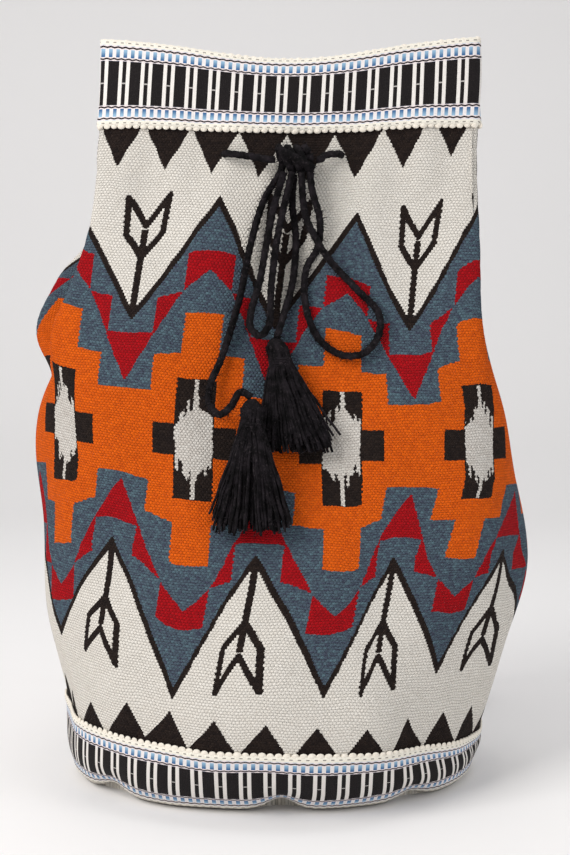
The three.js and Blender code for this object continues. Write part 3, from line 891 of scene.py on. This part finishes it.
# %% Tassels
def yarn_tree():
    tree, ids = node_tree("yarns_from_lines", ("Yarn radius", "Float"), ("Unevenness", "Float"))
    n = tree.nodes
    given, result = n.new("NodeGroupInput"), n.new("NodeGroupOutput")
    curve, sweep = n.new("GeometryNodeMeshToCurve"), n.new("GeometryNodeCurveToMesh")
    preset(sweep, Fill_Caps=True)
    circle, move = n.new("GeometryNodeCurvePrimitiveCircle"), n.new("GeometryNodeSetPosition")
    preset(circle, Resolution=6)
    noise = n.new("ShaderNodeTexNoise")
    preset(noise, Scale=160)
    centre, scaled = n.new("ShaderNodeVectorMath"), n.new("ShaderNodeVectorMath")
    centre.operation, scaled.operation = "SUBTRACT", "SCALE"
    preset(centre, n1=(0.5, 0.5, 0.5))
    soft, real = n.new("GeometryNodeSetShadeSmooth"), n.new("GeometryNodeRealizeInstances")
    coat = n.new("GeometryNodeSetMaterial")
    wire(tree, (given, "Geometry", curve, "Mesh"), (curve, "Curve", move, "Geometry"),
         (noise, "Color", centre, 0), (centre, "Vector", scaled, 0),
         (given, "Unevenness", scaled, "Scale"), (scaled, "Vector", move, "Offset"),
         (given, "Yarn radius", circle, "Radius"), (move, "Geometry", sweep, "Curve"),
         (circle, "Curve", sweep, "Profile Curve"), (sweep, "Mesh", soft, "Geometry"),
         (soft, "Geometry", real, "Geometry"), (real, "Geometry", coat, "Geometry"),
         (given, "Material", coat, "Material"), (coat, "Geometry", result, "Geometry"))
    return tree, ids


YARNS = yarn_tree()


def skirt_lines(neck_x, neck_z, foot_x, half_width, stand, length, count, random):
    """Guide lines in mm of a tassel that hangs before the cloth and flattens on it."""
    lines = []
    for _ in range(count):
        turn, out = random.uniform(0, 2 * np.pi), np.sqrt(random.uniform(0.02, 1))
        reach = length * random.uniform(0.86, 1.04)
        swing = random.normal(0, 2.2)
        line = []
        for share in np.linspace(0.06, 1, 11):
            wide = np.interp(share, [0, 0.12, 0.2, 0.35, 1], [0.28, 0.3, 0.24, 0.42, 1]) * half_width
            deep = min(wide, 4.6)
            x = neck_x + (foot_x - neck_x) * share + np.cos(turn) * out * wide + swing * share**2
            ease = np.clip((share - 0.38) / 0.62, 0, 1)
            lying = stand * (1 - 0.75 * ease * ease * (3 - 2 * ease)) + 5.5
            line.append(in_front(x, neck_z - share * reach, lying + np.sin(turn) * out * deep))
        lines.append(line)
    return lines


def tassel(node, neck_x, neck_z, foot_x, half_width, stand, length, seed):
    random = np.random.default_rng(seed)
    lines = skirt_lines(neck_x, neck_z, foot_x, half_width, stand, length, 250, random)
    steps = len(lines[0])
    points = np.array(lines).reshape(-1, 3)
    edges = [(k * steps + i, k * steps + i + 1) for k in range(len(lines)) for i in range(steps - 1)]
    mesh = bpy.data.meshes.new(node + "_lines")
    mesh.from_pydata([tuple(p) for p in points * MM], edges, [])
    carrier = bpy.data.objects.new(node + "_lines", mesh)
    scene.collection.objects.link(carrier)
    skirt = grown(carrier, node.replace("tassel", "skirt"), YARNS, Yarn_radius=0.68 * MM,
                  Unevenness=3.4 * MM, Material=BLACK_WOOL)
    # head: yarn folded over the cord, and the binding below it
    head = []
    for share, radius in ((-0.02, 2.0), (0.02, 4.4), (0.075, 5.6), (0.12, 5.0), (0.16, 4.2)):
        head.append((share, radius))
    sides = 20
    rows = []
    for share, radius in head:
        cx, cy, cz = in_front(neck_x + (foot_x - neck_x) * share, neck_z - share * length, stand + 5.5)
        ring_turn = np.linspace(0, 2 * np.pi, sides, endpoint=False)
        r = radius * (1 + 0.06 * np.cos(ring_turn * 10))
        rows.append(np.column_stack([cx + r * np.cos(ring_turn), cy - r * 0.92 * np.sin(ring_turn),
                                     np.full(sides, cz)]))
    faces = [(j * sides + i, (j + 1) * sides + i,
              (j + 1) * sides + (i + 1) % sides, j * sides + (i + 1) % sides)
             for j in range(len(rows) - 1) for i in range(sides)]
    faces += [tuple(range(sides)), tuple((len(rows) - 1) * sides + i for i in range(sides))[::-1]]
    cap = make_piece(node + "_head", np.vstack(rows), faces, None, BLACK_WOOL)
    a = np.linspace(0, 2 * np.pi * 4, 160)
    centre = np.array(in_front(neck_x + (foot_x - neck_x) * 0.2, neck_z - 0.2 * length, stand + 5.5))
    wrap = centre + np.column_stack([5.0 * np.cos(a), 4.6 * np.sin(a), np.linspace(2.6, -2.6, 160)])
    binding = rope(node + "_binding", wrap, 1.7, BLACK_WOOL, lobes=2, pitch=5, sides=8, step=0.8)[0]
    with bpy.context.temp_override(active_object=skirt, selected_editable_objects=[skirt, cap, binding]):
        bpy.ops.object.join()
    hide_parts(node)
    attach(skirt, "root")
    return skirt


TASSELS = {
    "tassel_left": tassel("tassel_left", -10.5, 216.5, -10.5, 21, 14, 66, 11),
    "tassel_right": tassel("tassel_right", 2, 249, 13, 20, 1.5, 58, 12),
}


def declare(node):
    piece, line, length = cords[node]
    tuple(line[0] * MM)
    length * MM
    [tuple(p * MM) for p in line]


declare("bow_loop_left")
declare("bow_loop_right")
declare("tail_left")
declare("tail_right")

# %% [markdown]
# Hand-spun wool is hairy. A last Geometry Nodes tree scatters short hairs over the cords and the
# tassels, each a thin three-sided cone that leans its own way, so that their outlines turn soft.

# %% Hairs on the black yarn
def hair_tree():
    tree, ids = node_tree("hairs_on_yarn", ("Hairs per square metre", "Float"), ("Hair length", "Float"))
    n = tree.nodes
    given, result = n.new("NodeGroupInput"), n.new("NodeGroupOutput")
    scatter, hair = n.new("GeometryNodeDistributePointsOnFaces"), n.new("GeometryNodeMeshCone")
    preset(scatter, Seed=5)
    preset(hair, Vertices=3, Radius_Top=0.00008, Radius_Bottom=0.0002)
    lean, turned = n.new("FunctionNodeRandomValue"), n.new("FunctionNodeRotateRotation")
    lean.data_type = "FLOAT_VECTOR"
    preset(lean, n0=(-1.1, -1.1, 0), n1=(1.1, 1.1, 3), Seed=9)
    turned.rotation_space = "LOCAL"
    euler, size = n.new("FunctionNodeEulerToRotation"), n.new("FunctionNodeRandomValue")
    preset(size, n2=0.5, n3=1.3, Seed=4)
    put, real = n.new("GeometryNodeInstanceOnPoints"), n.new("GeometryNodeRealizeInstances")
    coat = n.new("GeometryNodeSetMaterial")
    wire(tree, (given, "Geometry", scatter, "Mesh"),
         (given, "Hairs per square metre", scatter, "Density"), (given, "Hair length", hair, "Depth"),
         (scatter, "Points", put, "Points"), (hair, "Mesh", put, "Instance"), (lean, 0, euler, 0),
         (scatter, "Rotation", turned, "Rotation"), (euler, 0, turned, "Rotate By"),
         (turned, 0, put, "Rotation"), (size, 1, put, "Scale"), (put, "Instances", real, "Geometry"),
         (real, "Geometry", coat, "Geometry"), (given, "Material", coat, "Material"),
         (coat, "Geometry", result, "Geometry"))
    return tree, ids


HAIRS = hair_tree()


def hairs(name, yarn, density, length):
    carrier = bpy.data.objects.new(name + "_base", yarn.data.copy())
    scene.collection.objects.link(carrier)
    piece = grown(carrier, name, HAIRS, Hairs_per_square_metre=float(density),
                  Hair_length=length * MM, Material=BLACK_WOOL)
    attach(piece, "root")
    return len(piece.data.polygons)


print("hair faces", [hairs("hair_" + yarn.name, yarn, density, length) for yarn, density, length in
                     [(cords[node][0], 170000, 2.6) for node in cords]
                     + [(knot, 130000, 2.6), *((t, 30000, 3.4) for t in TASSELS.values())]])

# %% [markdown]
# Two shoulder straps of black wool webbing are sewn to the back, and their slack lies on the
# ground behind the bag. Next to nothing of them shows from the front, so their shape is a guess.

# %% Shoulder straps
STRAP_WIDE, STRAP_THICK, FOOT_TURN = 28.0, 3.5, 0.62


def on_back(x, v, stand):
    face = ring(v, np.linspace(0, GIRTH, 2880, endpoint=False))
    spot = face[np.argmin(np.abs(face[:, 0] - x) + 1000 * (face[:, 1] < 5))]
    return (spot[0], spot[1] + stand, spot[2])


def strap_route(side, out):
    on_cloth = SEAM + STRAP_THICK / 2
    on_foot = on_cloth + TRIM_THICK + 2 * SEAM
    return [on_back(side * 24, HEIGHT - TRIM - 17, on_cloth + 0.5),
            on_back(side * 24.5, HEIGHT - TRIM - 39, on_cloth + 0.9),
            (side * 27, 62, 315), (side * 34, 94, 255), (side * 48, 128, 180), (side * 64, 156, 105),
            (side * out * 0.66, 176, 45), (side * out * 0.9, 184, 16), (side * (out + 2), 178, 8),
            (side * (out + 3), 160, STRAP_THICK + 2.1), (side * (out - 8), 138, STRAP_THICK + 2.2),
            (side * 76, 114, 8), on_back(side * 68, 24, on_foot + 5.6),
            on_back(side * 66, 42, on_foot + 3.5)]


def webbing():
    f = Finish("strap_webbing", 0.95)
    u, v = f.fabric_place("cloth")
    _, _, number, crown = floats(f, u * 1000, v * 1000, 2.0, 1.6)
    shade = f.node("ShaderNodeTexWhiteNoise", {"noise_dimensions": "2D"}, {"Vector": number})["Value"]
    colour = f.mix(shade, ink(0.09, 0.075, 0.08), ink(0.17, 0.14, 0.15))
    # painted shade: the webbing turns near black where the floats dip between each other
    colour = f.mix(crown.to_range(-0.3, 0.4), ink(0.04, 0.035, 0.04), colour)
    return f.done(colour, crown + f.noise(f.join(u * 1000, v * 1000), 2.0) * 0.5, 0.0006)


WEBBING = webbing()


def strap(name, node, side, out):
    line, length = evenly(spline(strap_route(side, out), 24), 2.5)
    along = np.gradient(line, axis=0)
    along /= np.linalg.norm(along, axis=1, keepdims=True)
    share = np.linspace(0, 1, len(line))
    ease = np.clip((share - 0.7) / 0.25, 0, 1)
    turn = FOOT_TURN * ease * ease * (3 - 2 * ease)
    flat = np.column_stack([np.cos(turn), -side * np.sin(turn), 0 * turn])
    wide = flat - along * (flat * along).sum(1, keepdims=True)
    wide /= np.linalg.norm(wide, axis=1, keepdims=True)
    thick = np.cross(along, wide)
    half, t = STRAP_WIDE / 2, STRAP_THICK / 2
    outline = [(-half, 0), (-half + 0.8, -t), *[(x, -t) for x in np.linspace(-9, 9, 7)], (half - 0.8, -t),
               (half, 0), (half - 0.8, t), *[(x, t) for x in np.linspace(9, -9, 7)], (-half + 0.8, t)]
    n = len(outline)
    points, faces, uv = [], [], []
    for p, w, h in zip(line, wide, thick):
        points += [p + w * a + h * b for a, b in outline]
    for j in range(len(line) - 1):
        low, high = share[j] * length * MM, share[j + 1] * length * MM
        for i in range(n):
            k = (i + 1) % n
            faces.append((j * n + i, j * n + k, (j + 1) * n + k, (j + 1) * n + i))
            a, b = outline[i][0] * MM, outline[k][0] * MM
            uv += [(a, low), (b, low), (b, high), (a, high)]
    for j, way in ((0, -1), (len(line) - 1, 1)):
        faces.append(tuple(j * n + i for i in range(n))[::way])
        uv += [(outline[i][0] * MM, outline[i][1] * MM) for i in range(n)[::way]]
    piece = make_piece(name, points, faces, uv, WEBBING)
    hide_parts(node)
    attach(piece, "root")
    print(name, "mm", round(length))


strap("shoulder_strap_left", "strap_left", -1, 104)
strap("shoulder_strap_right", "strap_right", 1, 128)

# %% [markdown]
# The base is a plain panel of the same wool, and keeps its solid. The sweep behind the bag is a
# stage: it is not part of the object.

# %% Base panel and sweep
def plain_wool():
    f = Finish("plain_wool", 0.95)
    parts = f.node("ShaderNodeSeparateXYZ", {}, {"Vector": f.object_place()})
    _, _, number, crown = floats(f, parts["X"] * 1000, parts["Y"] * 1000, FLOAT_WIDE, FLOAT_HIGH)
    shade = f.node("ShaderNodeTexWhiteNoise", {"noise_dimensions": "2D"}, {"Vector": number})["Value"]
    colour = f.mix(shade * 0.4, CREAM, ink(0.80, 0.76, 0.68))
    # painted shade: darker brown in the low gaps between the floats, as if in shadow
    colour = f.mix((1 - crown.to_range(-0.35, 0.35)) * 0.4, colour, ink(0.3, 0.26, 0.22))
    return f.done(colour, crown, 0.0007)


base = bpy.data.objects["base_panel"]
base.data.materials.clear()
base.data.materials.append(plain_wool())

SWEEP = [(-4, 0), (0, 0), (1.0, 0), (1.4, 0.03), (1.7, 0.16), (1.86, 0.45), (1.9, 1.0), (1.9, 4)]
PALE = Finish("pale_sweep", 0.9)
PALE = PALE.done((*ink(0.96, 0.955, 0.955), 1))


def add_sweep():
    profile = spline([(0, y, z) for y, z in SWEEP], 8)
    points = [(x, y * 1000, z * 1000) for x in (-4500, 4500) for _, y, z in profile]
    n = len(profile)
    faces = [(i, n + i, n + i + 1, i + 1) for i in range(n - 1)]
    make_piece("sweep", points, faces, None, PALE)


add_sweep()
world = bpy.data.worlds.new("studio")
world.use_nodes = True
nodes = world.node_tree.nodes
sky = nodes["Background"]
sky.inputs["Color"].default_value = (1, 1, 1, 1)
sky.inputs["Strength"].default_value = 0.45
# past the sweep, a camera or gloss ray meets a backdrop as pale as the sweep itself
rays, seen, pick = (nodes.new("ShaderNode" + kind) for kind in ("LightPath", "Background", "MixShader"))
first, second = nodes.new("ShaderNodeMath"), nodes.new("ShaderNodeMath")
first.operation = second.operation = "MAXIMUM"
seen.inputs["Color"].default_value = (*ink(0.88, 0.875, 0.875), 1)
wire(world.node_tree, (rays, "Is Camera Ray", first, 0), (rays, "Is Glossy Ray", first, 1),
     (first, 0, second, 0), (rays, "Is Transmission Ray", second, 1), (second, 0, pick, 0),
     (sky, 0, pick, 1), (seen, 0, pick, 2), (pick, 0, nodes["World Output"], "Surface"))
scene.world = world
scene.view_settings.view_transform = "Standard"
